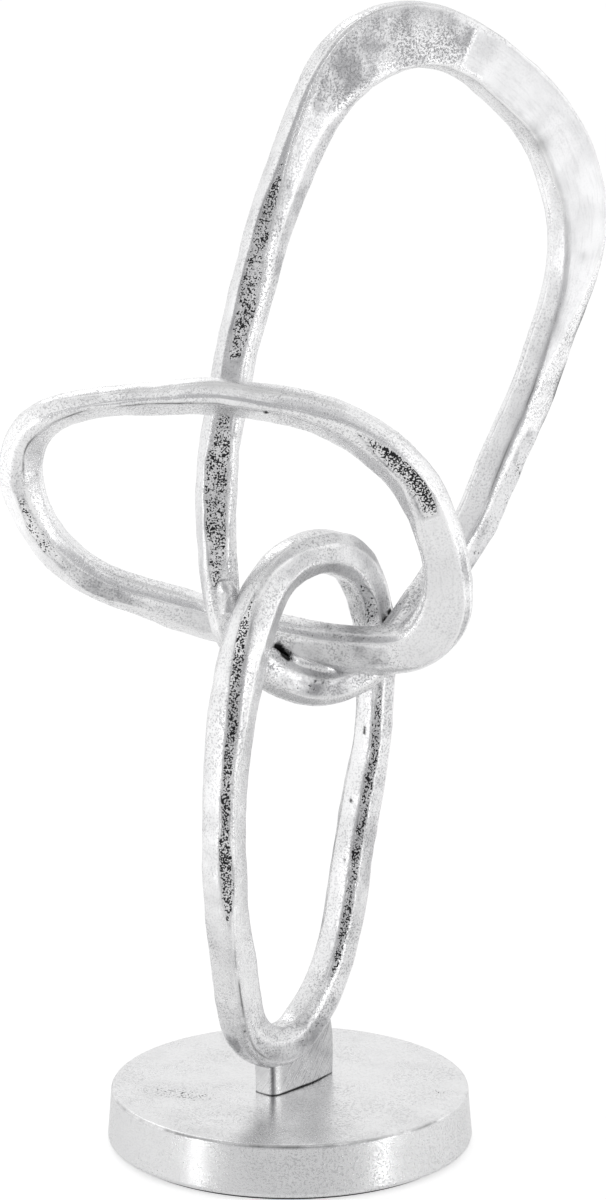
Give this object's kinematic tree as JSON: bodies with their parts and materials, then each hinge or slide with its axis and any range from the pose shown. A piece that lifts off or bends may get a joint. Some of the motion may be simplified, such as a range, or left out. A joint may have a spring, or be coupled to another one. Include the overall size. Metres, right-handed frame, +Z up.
{
  "type": "tabletop knot sculpture",
  "caption": "Free-standing abstract knot of interlinked cast metal links, hand-ground and pitted, upright on a round cast base with a felt pad.",
  "frame": {"origin": "centre of the felt pad's underside, on the table, on the base disc's axis", "axes": "+Z up along the base axis; -Y is the side that the picture shows; +X is to the right in it"},
  "size_m": [0.1977, 0.124, 0.3749],
  "materials": {
    "felt": "pressed wool felt",
    "cast_base": "sand-cast, turned rim, satin nickel look",
    "zinc_steel": "zinc plated",
    "cast_lower": "hand-ground raw casting, dark pits left in",
    "cast_upper": "hand-ground raw casting, dark pits left in",
    "cast_middle": "hand-ground raw casting, dark pits left in",
    "weld_metal": "ground weld"
  },
  "bodies": {
    "root": {"felt_pad": "felt", "base_disc": "cast_base", "fixing_screw": "zinc_steel", "spring_washer": "zinc_steel", "flat_washer": "zinc_steel", "lower_link": "cast_lower", "upper_link": "cast_upper", "middle_link": "cast_middle", "weld_near_arm": "weld_metal", "weld_far_arm": "weld_metal", "weld_left_saddle": "weld_metal", "weld_right_saddle": "weld_metal", "weld_crest": "weld_metal"}
  },
  "joints": []
}
